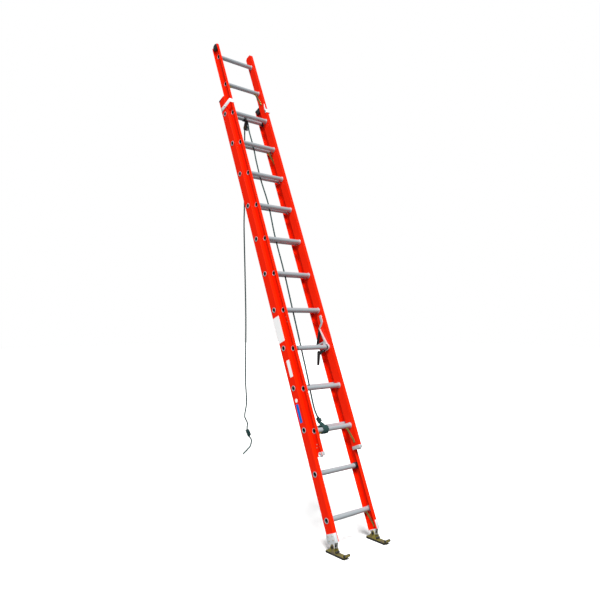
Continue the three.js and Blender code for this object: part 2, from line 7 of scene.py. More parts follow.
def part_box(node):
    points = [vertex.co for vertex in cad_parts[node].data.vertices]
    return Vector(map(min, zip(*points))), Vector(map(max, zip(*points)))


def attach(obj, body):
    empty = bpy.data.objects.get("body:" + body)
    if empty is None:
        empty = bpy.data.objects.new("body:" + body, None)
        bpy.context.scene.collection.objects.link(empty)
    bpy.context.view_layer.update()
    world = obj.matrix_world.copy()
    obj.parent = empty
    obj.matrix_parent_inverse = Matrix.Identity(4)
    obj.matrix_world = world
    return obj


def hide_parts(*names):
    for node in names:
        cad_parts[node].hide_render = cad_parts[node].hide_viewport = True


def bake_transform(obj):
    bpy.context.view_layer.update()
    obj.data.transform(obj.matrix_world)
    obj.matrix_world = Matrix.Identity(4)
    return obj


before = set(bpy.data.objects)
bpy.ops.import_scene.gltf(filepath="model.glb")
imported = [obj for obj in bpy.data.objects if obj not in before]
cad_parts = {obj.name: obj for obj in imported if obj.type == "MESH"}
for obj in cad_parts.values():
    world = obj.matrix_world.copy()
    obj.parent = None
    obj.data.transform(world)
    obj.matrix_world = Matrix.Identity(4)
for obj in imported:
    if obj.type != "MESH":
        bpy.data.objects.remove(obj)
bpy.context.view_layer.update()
bpy.ops.object.select_all(action="DESELECT")
scene = bpy.context.scene

# Where the ladder stands, in metres. A place on it is given as x across, how far ahead of the
# rails' middle, and how far up along the rails from their feet. The wall is behind, along +y.
LEAN = math.radians(22.4)
UP_RAILS = Vector((0, math.sin(LEAN), math.cos(LEAN)))
AHEAD = Vector((0, -math.cos(LEAN), math.sin(LEAN)))
SHOE_PIVOT_DROP = 0.024
SIDES = (("left", -1), ("right", 1))


def middle(node):
    low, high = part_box(node)
    return (low + high) / 2


shoe_pivot = middle("right_shoe_bolt") * Vector((0, 1, 1))
foot = shoe_pivot + UP_RAILS * SHOE_PIVOT_DROP
LEAN_TURN = Matrix.Rotation(-LEAN, 4, "X")
# Takes a piece drawn upright, with its feet at the origin, to where it stands.
LEANED = Matrix.Translation(foot) @ LEAN_TURN


def on_ladder(x, ahead, along):
    return Vector((x, 0, 0)) + foot + AHEAD * ahead + UP_RAILS * along


# The camera, at eye height ahead of the ladder and to its left.
CAMERA_PLACE = (-2.8026, -3.4983, 1.5334)
CAMERA_RISE = 0.03653
CAMERA_TURN = -0.6954
SENSOR_WIDTH = 36
FOCAL_LENGTH = 34.19
camera = bpy.data.objects.new("camera", bpy.data.cameras.new("camera"))
scene.collection.objects.link(camera)
camera.location = CAMERA_PLACE
camera.rotation_euler = (math.pi / 2 + CAMERA_RISE, 0, CAMERA_TURN)
camera.data.sensor_width = SENSOR_WIDTH
camera.data.lens = FOCAL_LENGTH
scene.camera = camera

# The hauling rope: one length of three-strand laid synthetic rope, limp and a little weathered.
# It is tied to the fly's lowest rung, runs up between the two sections and over the pulley, and
# hangs down behind the ladder to a stopper knot.
ROPE_DIAMETER = 0.0125
STRAND_RADIUS = 0.00350
STRAND_OFFSET = 0.00295
LAY_LENGTH = 0.038
ROPE_SIDES = 18
ROPE_STEP = 0.0045
SPLINE_STEPS = 24

# In millimetres: across, ahead of the rails' middle, and up along the rails.
HAUL_ROUTE = [
    (-10, 27, 3371), (-15, 29, 3335), (-17, 32, 3240), (-21, 34, 3113), (-27, 34, 3039),
    (-31, 34, 2834), (-20, 34, 2610), (-39, 34, 2290), (-41, 34, 1978), (-54, 34, 1673),
    (-66, 34, 1394), (-80, 34, 1108), (-88, 34, 1004), (-94, 36, 876), (-90, 44, 815),
]
# In millimetres: across, and down from the sheave's axis. The tail is below the stopper knot.
FREE_ROUTE = [
    (-10, 35), (-10, 400), (-10, 687), (-13, 852), (-2, 1241), (9, 1676), (8, 2200), (19, 2399),
    (2, 2515), (29, 2572), (26, 2622),
]
TAIL_ROUTE = [(50, 2688), (72, 2725), (59, 2773), (35, 2795), (-15, 2831)]
ROPE_ON_SHEAVE = 0.025
sheave_axis = middle("pulley_sheave")


def below_sheave(x, drop):
    return Vector((x / 1000, sheave_axis.y + ROPE_ON_SHEAVE, sheave_axis.z - drop / 1000))


def smooth_route(points, step):
    """Centripetal spline through the points, sampled at an even spacing."""
    ends = [points[0] * 2 - points[1], *points, points[-1] * 2 - points[-2]]
    fine = []
    for i in range(1, len(ends) - 2):
        p = ends[i - 1:i + 3]
        t = [0.0]
        for a, b in zip(p, p[1:]):
            t.append(t[-1] + math.sqrt(max((b - a).length, 1e-9)))
        for k in range(SPLINE_STEPS):
            u = t[1] + (t[2] - t[1]) * k / SPLINE_STEPS
            a1 = p[0] * ((t[1] - u) / (t[1] - t[0])) + p[1] * ((u - t[0]) / (t[1] - t[0]))
            a2 = p[1] * ((t[2] - u) / (t[2] - t[1])) + p[2] * ((u - t[1]) / (t[2] - t[1]))
            a3 = p[2] * ((t[3] - u) / (t[3] - t[2])) + p[3] * ((u - t[2]) / (t[3] - t[2]))
            b1 = a1 * ((t[2] - u) / (t[2] - t[0])) + a2 * ((u - t[0]) / (t[2] - t[0]))
            b2 = a2 * ((t[3] - u) / (t[3] - t[1])) + a3 * ((u - t[1]) / (t[3] - t[1]))
            fine.append(b1 * ((t[2] - u) / (t[2] - t[1])) + b2 * ((u - t[1]) / (t[2] - t[1])))
    fine.append(points[-1])
    total = sum((b - a).length for a, b in zip(fine, fine[1:]))
    count = max(2, round(total / step))
    even = [fine[0]]
    walked, target = 0.0, total / count
    for a, b in zip(fine, fine[1:]):
        span = (b - a).length
        while walked + span >= target and len(even) < count:
            even.append(a.lerp(b, (target - walked) / span))
            target += total / count
        walked += span
    even.append(fine[-1])
    return even


def strand_outline():
    """The rope's radius at each of its sides: three round strands laid together."""
    strand_turn = 2 * math.pi / 3
    radii = []
    for k in range(ROPE_SIDES):
        off = (k * 2 * math.pi / ROPE_SIDES + strand_turn / 2) % strand_turn - strand_turn / 2
        inner = STRAND_RADIUS ** 2 - (STRAND_OFFSET * math.sin(off)) ** 2
        radii.append(STRAND_OFFSET * math.cos(off) + math.sqrt(inner))
    return radii


def laid_rope(routes):
    """Vertices and faces of twisted rope along each route, with closed ends."""
    verts, faces = [], []
    outline = strand_outline()
    for route in routes:
        base = len(verts)
        end = len(route) - 1
        tangents = []
        for i in range(len(route)):
            tangents.append((route[min(i + 1, end)] - route[max(i - 1, 0)]).normalized())
        side = tangents[0].orthogonal().normalized()
        walked = 0.0
        for i, (point, tangent) in enumerate(zip(route, tangents)):
            if i:
                walked += (point - route[i - 1]).length
                side = tangents[i - 1].rotation_difference(tangent) @ side
            turn = 2 * math.pi * walked / LAY_LENGTH
            other = tangent.cross(side)
            for k, radius in enumerate(outline):
                angle = turn + 2 * math.pi * k / ROPE_SIDES
                sideways = side * (radius * math.cos(angle))
                verts.append(point + sideways + other * (radius * math.sin(angle)))
        for ring in range(base, base + end * ROPE_SIDES, ROPE_SIDES):
            for k in range(ROPE_SIDES):
                a, b = ring + k, ring + (k + 1) % ROPE_SIDES
                faces.append((a, b, b + ROPE_SIDES, a + ROPE_SIDES))
        last = base + end * ROPE_SIDES
        faces.append(tuple(base + k for k in reversed(range(ROPE_SIDES))))
        faces.append(tuple(last + k for k in range(ROPE_SIDES)))
    return verts, faces


def shader_nodes(name):
    material = bpy.data.materials.new(name)
    material.use_nodes = True
    tree = material.node_tree
    return material, tree, tree.nodes["Principled BSDF"]


def noise(tree, scale, stretch=(1, 1, 1), turn=(0, 0, 0), detail=4.0):
    """The output of a noise texture on the piece's own coordinates."""
    place = tree.nodes.new("ShaderNodeTexCoord")
    mapping = tree.nodes.new("ShaderNodeMapping")
    mapping.vector_type = "POINT"
    mapping.inputs["Rotation"].default_value = turn
    mapping.inputs["Scale"].default_value = stretch
    texture = tree.nodes.new("ShaderNodeTexNoise")
    texture.inputs["Scale"].default_value = scale
    texture.inputs["Detail"].default_value = detail
    tree.links.new(place.outputs["Object"], mapping.inputs["Vector"])
    tree.links.new(mapping.outputs["Vector"], texture.inputs["Vector"])
    return texture.outputs["Fac"]


def ramp(tree, source, stops):
    """A colour for each value of the source, from [position, colour] stops."""
    node = tree.nodes.new("ShaderNodeValToRGB")
    while len(node.color_ramp.elements) < len(stops):
        node.color_ramp.elements.new(0.5)
    for element, (position, colour) in zip(node.color_ramp.elements, stops):
        element.position = position
        element.color = (*colour, 1)
    tree.links.new(source, node.inputs["Fac"])
    return node.outputs["Color"]


# A Mix node's colour sockets share their names with its other kinds, so they go by number.
MIX_A, MIX_B, MIX_COLOUR = 6, 7, 2


def blend_colour(tree, factor, a, b):
    """From a to b as the factor rises. Either is a colour or another node's output."""
    node = tree.nodes.new("ShaderNodeMix")
    node.data_type = "RGBA"
    tree.links.new(factor, node.inputs["Factor"])
    for socket, value in ((node.inputs[MIX_A], a), (node.inputs[MIX_B], b)):
        if isinstance(value, tuple):
            socket.default_value = (*value, 1)
        else:
            tree.links.new(value, socket)
    return node.outputs[MIX_COLOUR]


def spread(tree, source, low, high):
    """The source's 0 to 1, spread from low to high."""
    node = tree.nodes.new("ShaderNodeMapRange")
    node.inputs["To Min"].default_value = low
    node.inputs["To Max"].default_value = high
    tree.links.new(source, node.inputs["Value"])
    return node.outputs["Result"]


BUMP_STRENGTH = 0.6


def bump(tree, shader, source, height):
    node = tree.nodes.new("ShaderNodeBump")
    node.inputs["Strength"].default_value = BUMP_STRENGTH
    node.inputs["Distance"].default_value = height
    tree.links.new(source, node.inputs["Height"])
    tree.links.new(node.outputs["Normal"], shader.inputs["Normal"])


rope_fibre, tree, shader = shader_nodes("weathered_rope")
fibres = noise(tree, 900, detail=6)
soiling = noise(tree, 14)
clean = ramp(tree, fibres, [(0.3, (0.002, 0.022, 0.021)), (0.7, (0.008, 0.080, 0.076))])
soiled = blend_colour(tree, soiling, clean, (0.006, 0.034, 0.032))
tree.links.new(soiled, shader.inputs["Base Color"])
shader.inputs["Roughness"].default_value = 0.88
shader.inputs["Sheen Weight"].default_value = 0.04
shader.inputs["Sheen Roughness"].default_value = 0.6
bump(tree, shader, fibres, 0.0004)


def rope_piece(name, routes):
    verts, faces = laid_rope(routes)
    mesh = bpy.data.meshes.new(name)
    mesh.from_pydata(verts, [], faces)
    piece = bpy.data.objects.new(name, mesh)
    scene.collection.objects.link(piece)
    mesh.materials.append(rope_fibre)
    mesh.shade_smooth()
    return piece


haul_route = [on_ladder(x / 1000, ahead / 1000, up / 1000) for x, ahead, up in HAUL_ROUTE]
haul_points = smooth_route(haul_route, ROPE_STEP)
free_route = [below_sheave(x, drop) for x, drop in FREE_ROUTE + TAIL_ROUTE]
free_points = smooth_route(free_route, ROPE_STEP)

# Over the sheave: up from the free part, round the groove, and down to the hauling part.
TURN_DEGREES = 195
over_sheave = [free_points[0] + Vector((0, 0, z)) for z in (0, 0.010, 0.022)]
for degrees in range(0, TURN_DEGREES + 1, 15):
    angle = math.radians(degrees)
    over_sheave.append(sheave_axis + Vector((0, math.cos(angle), math.sin(angle))) * ROPE_ON_SHEAVE)
over_sheave.append(haul_points[0].lerp(over_sheave[-1], 0.4))
over_sheave.append(haul_points[0])
turn_points = smooth_route(over_sheave, ROPE_STEP)

# Turns round the fly's lowest rung, laid side by side, and a round knot above hold the rope.
TIE_X = -0.086
TIE_TURNS = 5
TIE_STEPS = 24
TIE_START = 110
RUNG_OUTSIDE = 0.0178
TIE_GAP = 0.0004
low_rung = middle("fly_rung_01")
tie_radius = RUNG_OUTSIDE + ROPE_DIAMETER / 2 + TIE_GAP
tie_points = []
for k in range((TIE_TURNS - 1) * TIE_STEPS + 1):
    angle = math.radians(360 / TIE_STEPS * k + TIE_START)
    x = TIE_X - ROPE_DIAMETER * TIE_TURNS / 2 + ROPE_DIAMETER * (0.5 + k / TIE_STEPS)
    reach = AHEAD * math.cos(angle) + UP_RAILS * math.sin(angle)
    tie_points.append(Vector((x, low_rung.y, low_rung.z)) + reach * tie_radius)


WRAP_STEPS = 20
KNOT_RADIUS = ROPE_DIAMETER * 0.95


def wraps(start, end, radius, turns):
    """A helix wound round the line from start to end."""
    axis = (end - start).normalized()
    side = axis.orthogonal().normalized()
    other = axis.cross(side)
    steps = int(turns * WRAP_STEPS)
    points = []
    for k in range(steps + 1):
        angle = 2 * math.pi * turns * k / steps
        out = (side * math.cos(angle) + other * math.sin(angle)) * radius
        points.append(start.lerp(end, k / steps) + out)
    return points


knot_at = haul_points[-1]
knot_low = knot_at - UP_RAILS * 0.034 + AHEAD * 0.012
tie_knot = wraps(knot_low, knot_at - UP_RAILS * 0.002, KNOT_RADIUS, 2.6)
# Three parts of the rope, side by side, lead from the knot to each end of the turns.
LEG_OFFSETS = (0, 0.8, 1.6)
tie_legs = []
for end, inward in ((tie_points[0], 1), (tie_points[-1], -1)):
    for beside in LEG_OFFSETS:
        shift = Vector((inward * beside * ROPE_DIAMETER, 0, 0))
        bend = knot_low.lerp(end + shift, 0.5) + AHEAD * 0.006
        tie_legs.append(smooth_route([knot_low + shift * 0.2, bend, end + shift], ROPE_STEP))
tie = rope_piece("rope_round_rung", [
    smooth_route(tie_points, ROPE_STEP), smooth_route(tie_knot, ROPE_STEP),
    smooth_route([knot_at, knot_at.lerp(knot_low, 0.5), knot_low], ROPE_STEP), *tie_legs,
])
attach(tie, "fly")
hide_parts("rope_tie")

# The stopper knot near the free end: a barrel knot, with the tail below it.
knot_top = below_sheave(28, 2630)
knot_foot = below_sheave(50, 2680)
barrel = wraps(knot_top, knot_foot, KNOT_RADIUS, 4.2)
stopper = rope_piece("rope_stopper_knot", [smooth_route(barrel, ROPE_STEP)])
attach(stopper, "base")
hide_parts("rope_knot")

haul = rope_piece("rope_hauling_part", [haul_points])
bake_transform(haul)
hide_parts("haul_strand")

free = rope_piece("rope_free_part", [free_points])
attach(free, "base")
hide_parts("free_strand")

turn = rope_piece("rope_over_sheave", [turn_points])
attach(turn, "pulley_block")


# The rails: pultruded channels of glass fibre in orange-red resin, cut to length and drilled for
# the rungs. The base's channels open inwards and the fly's outwards, with their flanges hooked.
fibreglass, tree, shader = shader_nodes("orange_fibreglass")
along_rail = (LEAN, 0, 0)
streaks = noise(tree, 1, stretch=(260, 260, 9), turn=along_rail, detail=5)
cloudy = noise(tree, 3.5, turn=along_rail)
veil = noise(tree, 420, detail=3)
tint = ramp(tree, streaks, [(0.35, (0.80, 0.010, 0.0003)), (0.65, (0.96, 0.018, 0.0005))])
shaded = blend_colour(tree, cloudy, tint, (0.92, 0.016, 0.0005))
tree.links.new(shaded, shader.inputs["Base Color"])
tree.links.new(spread(tree, cloudy, 0.30, 0.46), shader.inputs["Roughness"])
bump(tree, shader, veil, 0.00012)
shader.inputs["Specular IOR Level"].default_value = 0.10
for side, _ in SIDES:
    for section in ("base", "fly"):
        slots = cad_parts[f"{side}_{section}_rail"].data.materials
        slots.clear()
        slots.append(fibreglass)

# The rungs: extruded aluminium tube, ribbed for grip, pushed through both webs. Each end is
# swaged out over the web's outer face, and a bead is rolled up against its inner face.
RUNG_RADIUS = 0.0175
RUNG_BORE = 0.0145
RIBS = 24
RUNG_SIDES = 3 * RIBS
VALLEY_DEPTH = 0.962
BEAD_RADIUS = 0.0215
FLARE_RADIUS = 0.0199
FLARE_FACE = 0.0021
BEAD_FACE = 0.0048
SMOOTH_BELOW = 35


def begin_edit(piece):
    bpy.ops.object.select_all(action="DESELECT")
    piece.select_set(True)
    bpy.context.view_layer.objects.active = piece
    bpy.ops.object.mode_set(mode="EDIT")
    bpy.ops.mesh.select_all(action="SELECT")


def smoothed(piece, below=SMOOTH_BELOW):
    """Smooth shading across the active piece's edges that turn by less than an angle."""
    bpy.ops.object.shade_smooth_by_angle(angle=math.radians(below))
    piece.select_set(False)


def break_edges(piece, width, segments=2, angle=30):
    """Rounds the active piece's edges that turn by more than an angle."""
    edge = piece.modifiers.new("edge", "BEVEL")
    edge.width = width
    edge.segments = segments
    edge.limit_method = "ANGLE"
    edge.angle_limit = math.radians(angle)
    bpy.ops.object.modifier_apply(modifier="edge")
    smoothed(piece)


def turned(name, profile, steps, smooth=SMOOTH_BELOW):
    """A [radius, x] outline spun round the x axis into a closed piece."""
    mesh = bpy.data.meshes.new(name)
    points = [(x, 0, radius) for radius, x in profile]
    closed = profile[0][0] > 0 or profile[-1][0] > 0
    edges = [(i, i + 1) for i in range(len(points) - 1)]
    if closed:
        edges.append((len(points) - 1, 0))
    mesh.from_pydata(points, edges, [])
    piece = bpy.data.objects.new(name, mesh)
    scene.collection.objects.link(piece)
    begin_edit(piece)
    bpy.ops.mesh.spin(steps=steps, angle=2 * math.pi, center=(0, 0, 0), axis=(1, 0, 0))
    bpy.ops.mesh.select_all(action="SELECT")
    bpy.ops.mesh.remove_doubles(threshold=1e-6)
    bpy.ops.mesh.normals_make_consistent(inside=False)
    bpy.ops.object.mode_set(mode="OBJECT")
    smoothed(piece, smooth)
    return piece


def rung_profile(web, inner_web):
    """The tube from end to end, for a rail whose web has these outer and inner faces."""
    half = [
        (RUNG_BORE, web + FLARE_FACE - 0.0008), (RUNG_BORE + 0.0008, web + FLARE_FACE),
        (FLARE_RADIUS - 0.0007, web + FLARE_FACE), (FLARE_RADIUS, web + FLARE_FACE - 0.0006),
        (FLARE_RADIUS, web + 0.0003), (RUNG_RADIUS, web + 0.0003),
        (RUNG_RADIUS, inner_web - 0.0003), (BEAD_RADIUS - 0.0008, inner_web - 0.0003),
        (BEAD_RADIUS, inner_web - 0.0014), (BEAD_RADIUS - 0.0006, inner_web - BEAD_FACE + 0.0012),
        (RUNG_RADIUS + 0.0008, inner_web - BEAD_FACE),
        (RUNG_RADIUS, inner_web - BEAD_FACE - 0.0008), (RUNG_RADIUS, inner_web - 0.012),
    ]
    return half + [(radius, -x) for radius, x in reversed(half)]


def ribbed(piece, reach):
    """Presses valleys between the grip ribs, along the outside of the tube between its ends."""
    for vertex in piece.data.vertices:
        radius = math.hypot(vertex.co.y, vertex.co.z)
        angle = math.degrees(math.atan2(vertex.co.y, vertex.co.z))
        in_valley = round(angle / (360 / RUNG_SIDES)) % 3 == 0
        if abs(vertex.co.x) <= reach and radius > RUNG_BORE + 0.001 and in_valley:
            vertex.co.y *= VALLEY_DEPTH
            vertex.co.z *= VALLEY_DEPTH


rung_metal, tree, shader = shader_nodes("ribbed_aluminium")
brushing = noise(tree, 1, stretch=(14, 700, 700), detail=4)
handling = noise(tree, 22, detail=5)
metal = ramp(tree, brushing, [(0.3, (0.36, 0.40, 0.43)), (0.7, (0.58, 0.63, 0.66))])
worn = blend_colour(tree, handling, metal, (0.48, 0.53, 0.56))
tree.links.new(worn, shader.inputs["Base Color"])
tree.links.new(spread(tree, brushing, 0.30, 0.48), shader.inputs["Roughness"])
shader.inputs["Metallic"].default_value = 0.45
bump(tree, shader, brushing, 0.00008)

# The bore is given painted shade: a dark, dull colour that stands in for the shade deep inside the
# tube.
bore_painted_shade, tree, shader = shader_nodes("painted_shade_bore")
shade_mottle = noise(tree, 60)
painted_bore_shade = ramp(tree, shade_mottle, [(0.3, (0.012, 0.030, 0.034)), (0.7, (0.030, 0.060, 0.066))])
tree.links.new(painted_bore_shade, shader.inputs["Base Color"])
shader.inputs["Roughness"].default_value = 0.9
shader.inputs["Specular IOR Level"].default_value = 0.1

base_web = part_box("right_base_rail")[1].x
RAIL_WALL = 0.0045
RUNG_COUNT = 12
inner_base_web = base_web - RAIL_WALL
base_flange = base_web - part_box("right_base_rail")[0].x
fly_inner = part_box("right_fly_rail")[0].x
fly_web = fly_inner + RAIL_WALL
webs = (("base", base_web, inner_base_web), ("fly", fly_web, fly_inner))
for section, web, inner_web in webs:
    model = turned(f"{section}_rung_model", rung_profile(web, inner_web), RUNG_SIDES)
    ribbed(model, inner_web - 0.011)
    model.data.materials.append(rung_metal)
    model.data.materials.append(bore_painted_shade)
    # The faces of the bore take the painted shade.
    for face in model.data.polygons:
        if math.hypot(face.center.y, face.center.z) < RUNG_BORE + 0.0002:
            face.material_index = 1
    for number in range(1, RUNG_COUNT + 1):
        node = f"{section}_rung_{number:02d}"
        rung = model.copy()
        rung.data = model.data.copy()
        rung.name = f"ribbed_{node}"
        scene.collection.objects.link(rung)
        centre = middle(node)
        rung.data.transform(Matrix.Translation((0, centre.y, centre.z)) @ LEAN_TURN)
        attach(rung, section)
        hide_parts(node)
    bpy.data.objects.remove(model)


def finish_of(name, low, high, roughness, metallic, grain, height, specular=0.5, stain=None):
    """A finish whose colour runs from low to high in a fine grain with a little bump.

    Its roughness varies in soft clouds, where a stain may also darken it.
    """
    material, tree, shader = shader_nodes(name)
    fine = noise(tree, grain, detail=5)
    cloud = noise(tree, 26, detail=4)
    colour = ramp(tree, fine, [(0.3, low), (0.7, high)])
    if stain:
        marks = ramp(tree, cloud, [(0.52, (0, 0, 0)), (0.66, (1, 1, 1))])
        colour = blend_colour(tree, marks, colour, stain)
    tree.links.new(colour, shader.inputs["Base Color"])
    cloudy = spread(tree, cloud, roughness - 0.09, roughness + 0.09)
    tree.links.new(cloudy, shader.inputs["Roughness"])
    shader.inputs["Metallic"].default_value = metallic
    shader.inputs["Specular IOR Level"].default_value = specular
    bump(tree, shader, fine, height)
    return material


cast_metal = finish_of("cast_aluminium", (0.66, 0.70, 0.73), (0.86, 0.89, 0.91),
                       0.42, 0.35, 320, 0.0002)
zinc = finish_of("yellow_zinc", (0.36, 0.31, 0.07), (0.56, 0.48, 0.13),
                 0.34, 0.75, 90, 0.00006, stain=(0.30, 0.24, 0.16))
bright_zinc = finish_of("bright_zinc", (0.70, 0.74, 0.76), (0.86, 0.89, 0.90),
                        0.34, 0.6, 140, 0.00005)
white_enamel = finish_of("white_enamel", (0.84, 0.86, 0.87), (0.90, 0.91, 0.92),
                         0.36, 0.0, 140, 0.00005)
black_paint = finish_of("black_paint", (0.010, 0.010, 0.011), (0.022, 0.022, 0.024),
                        0.38, 0.1, 420, 0.00006)
black_plastic = finish_of("moulded_black", (0.012, 0.012, 0.013), (0.024, 0.024, 0.025),
                          0.5, 0, 900, 0.00008)
black_rubber = finish_of("worn_rubber", (0.010, 0.010, 0.010), (0.030, 0.029, 0.028),
                         0.8, 0, 240, 0.0003, stain=(0.05, 0.048, 0.045))
rivet_metal = finish_of("rivet_steel", (0.50, 0.42, 0.30), (0.66, 0.57, 0.42),
                        0.35, 0.85, 200, 0.00004)


def eased(node, width, material, body):
    """The CAD shape with its edges broken, as a stamped, cast or moulded piece has them."""
    piece = bpy.data.objects.new(f"eased_{node}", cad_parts[node].data.copy())
    scene.collection.objects.link(piece)
    begin_edit(piece)
    bpy.ops.mesh.remove_doubles(threshold=2e-5)
    bpy.ops.mesh.dissolve_limited(angle_limit=math.radians(1.2))
    bpy.ops.object.mode_set(mode="OBJECT")
    break_edges(piece, width, angle=28)
    piece.data.materials.clear()
    piece.data.materials.append(material)
    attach(piece, body)
    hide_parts(node)
    return piece


def joined(name, pieces, body):
    """One piece from several alike, such as all the rivets in one section."""
    bpy.ops.object.select_all(action="DESELECT")
    for piece in pieces:
        piece.select_set(True)
    bpy.context.view_layer.objects.active = pieces[0]
    bpy.ops.object.join()
    whole = bpy.context.view_layer.objects.active
    whole.name = name
    whole.select_set(False)
    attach(whole, body)


def copies(model, places):
    """Copies of a piece drawn at the origin, each moved to its [x, ahead, along] place.

    It is drawn for the right side, and mirrored where x is negative.
    """
    made = []
    for x, ahead, along in places:
        copy = model.copy()
        copy.data = model.data.copy()
        scene.collection.objects.link(copy)
        copy.data.transform(Matrix.Scale(-1 if x < 0 else 1, 4, (1, 0, 0)))
        if x < 0:
            copy.data.flip_normals()
        copy.data.transform(LEANED @ Matrix.Translation((x, -ahead, along)))
        made.append(copy)
    return made


def both_sides(places):
    return [(side * x, ahead, along) for x, ahead, along in places for side in (-1, 1)]


RUNG_PITCH = 0.3048
BASE_FIRST_RUNG = 0.1408
FLY_FIRST_RUNG = 0.7247
base_rungs = [BASE_FIRST_RUNG + RUNG_PITCH * n for n in range(RUNG_COUNT)]
fly_rungs = [FLY_FIRST_RUNG + RUNG_PITCH * n for n in range(RUNG_COUNT)]

# Black plastic collars sit on the base's second and topmost rungs, hard against the webs, and
# keep the fly off them as it runs down.
collar_model = turned("collar_model", [
    (0.0178, -0.0344), (0.0212, -0.0344), (0.0226, -0.0330), (0.0226, -0.0130), (0.0232, -0.0122),
    (0.0232, -0.0076), (0.0222, -0.0064), (0.0178, -0.0062),
], 48)
collar_model.data.materials.append(black_plastic)
joined("rung_collars", copies(collar_model, both_sides([
    (inner_base_web, 0, base_rungs[1]), (inner_base_web, 0, base_rungs[-1]),
])), "base")
bpy.data.objects.remove(collar_model)

# The boots: cast aluminium, one over the foot of each base rail, held by four rivets, with two
# tongues below that take the shoe's bolt.
for side, _ in SIDES:
    eased(f"{side}_boot", 0.0009, cast_metal, "base")


RIVET_SUNK = 0.0004
DOME_STEPS = 6


def rivet(name, radius, rise, material):
    """A rivet's domed head, standing on x = 0 and sunk a little into it."""
    profile = [(0, -RIVET_SUNK), (radius, -RIVET_SUNK), (radius, rise * 0.25)]
    for k in range(1, DOME_STEPS):
        angle = math.pi / 2 * k / DOME_STEPS
        profile.append((radius * math.cos(angle), rise * (0.25 + 0.75 * math.sin(angle))))
    profile.append((0, rise))
    head = turned(name, profile, 20, 50)
    head.data.materials.append(material)
    return head


boot_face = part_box("right_boot")[1].x
boot_rivet = rivet("boot_rivet", 0.0048, 0.0022, rivet_metal)
joined("boot_rivets", copies(boot_rivet, both_sides([
    (boot_face, ahead, along) for ahead in (-0.021, 0.021) for along in (0.015, 0.043)
])), "base")
bpy.data.objects.remove(boot_rivet)

# The swivel shoes: a yellow-zinc steel plate with two ears and a curled toe, on a thick ribbed
# rubber tread, hung on one bolt through the boot's tongues.
for side, _ in SIDES:
    eased(f"{side}_shoe_plate", 0.0007, zinc, f"{side}_shoe")
    eased(f"{side}_shoe_bolt", 0.0008, black_paint, "base")

TREAD_GROOVES = 13
TREAD_STRIPS = 2 * TREAD_GROOVES
TREAD_GROOVE_DEPTH = 0.0016
TREAD_BACKING = 0.0035
for side, _ in SIDES:
    low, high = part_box(f"{side}_shoe_tread")
    bpy.ops.mesh.primitive_cube_add(size=1, location=(low + high) / 2)
    tread = bpy.context.object
    tread.name = f"ribbed_{side}_tread"
    tread.scale = high - low
    bpy.ops.object.transform_apply(location=True, scale=True)
    begin_edit(tread)
    span = high.y - low.y
    for k in range(1, TREAD_STRIPS):
        cut = low.y + span * k / TREAD_STRIPS
        bpy.ops.mesh.select_all(action="SELECT")
        bpy.ops.mesh.bisect(plane_co=(0, cut, 0), plane_no=(0, 1, 0))
    bpy.ops.mesh.select_all(action="SELECT")
    bpy.ops.mesh.bisect(plane_co=(0, 0, high.z - TREAD_BACKING), plane_no=(0, 0, 1))
    bpy.ops.mesh.select_all(action="DESELECT")
    bpy.ops.object.mode_set(mode="OBJECT")
    for face in tread.data.polygons:
        strip = int((face.center.y - low.y) / span * TREAD_STRIPS)
        below_backing = face.center.z < high.z - TREAD_BACKING - 0.0001
        sideways = abs(face.normal.x) > 0.9 and below_backing
        face.select = strip % 2 == 1 and (sideways or face.normal.z < -0.9)
    bpy.ops.object.mode_set(mode="EDIT")
    bpy.ops.mesh.extrude_region_shrink_fatten(
        TRANSFORM_OT_shrink_fatten={"value": -TREAD_GROOVE_DEPTH})
    bpy.ops.object.mode_set(mode="OBJECT")
    break_edges(tread, 0.0006)
    tread.data.materials.append(black_rubber)
    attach(tread, f"{side}_shoe")
    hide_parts(f"{side}_shoe_tread")

plate_low, plate_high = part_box("right_shoe_plate")


def on_each_shoe(name, half_profile, steps, y, z):
    """A rubber roller across each shoe, from the outline of its left half."""
    profile = half_profile + [(radius, -x) for radius, x in reversed(half_profile)]
    model = turned(f"{name}_model", profile, steps)
    model.data.materials.append(black_rubber)
    for side, sign in SIDES:
        roller = model.copy()
        roller.data = model.data.copy()
        roller.name = f"{side}_{name}"
        scene.collection.objects.link(roller)
        x = sign * (plate_low.x + plate_high.x) / 2
        roller.data.transform(Matrix.Translation((x, y, z)))
        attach(roller, f"{side}_shoe")
    bpy.data.objects.remove(model)


# A bumper between the ears of each shoe, ahead of its pivot, with a waist in the middle.
on_each_shoe("shoe_bumper", [
    (0, -0.0165), (0.0058, -0.0165), (0.0072, -0.0150), (0.0072, -0.004), (0.0063, -0.002),
], 32, shoe_pivot.y - 0.028, 0.0238)

# A roll that fills the curl of each toe.
on_each_shoe("toe_roll", [
    (0, -0.026), (0.0070, -0.026), (0.0086, -0.0244),
], 28, plate_low.y + 0.0105, 0.0262)

# Straps of yellow-zinc steel brace the lowest and the topmost rungs of each section against the
# webs. Each is folded from strip, hooked under its rung and riveted to the web.
for side, _ in SIDES:
    eased(f"{side}_base_brace", 0.0006, zinc, "base")
    eased(f"{side}_fly_brace", 0.0006, zinc, "fly")


def upper_braces(section, rungs):
    """Copies of a section's two lower braces, moved up the rails to its last rung but one."""
    pieces = []
    for side, _ in SIDES:
        copy = bpy.data.objects[f"eased_{side}_{section}_brace"].copy()
        copy.data = copy.data.copy()
        for key in list(copy.keys()):
            del copy[key]
        copy.parent = None
        scene.collection.objects.link(copy)
        copy.data.transform(Matrix.Translation(UP_RAILS * (rungs[-2] - rungs[0])))
        pieces.append(copy)
    joined(f"upper_{section}_braces", pieces, section)


upper_braces("base", base_rungs)
upper_braces("fly", fly_rungs)

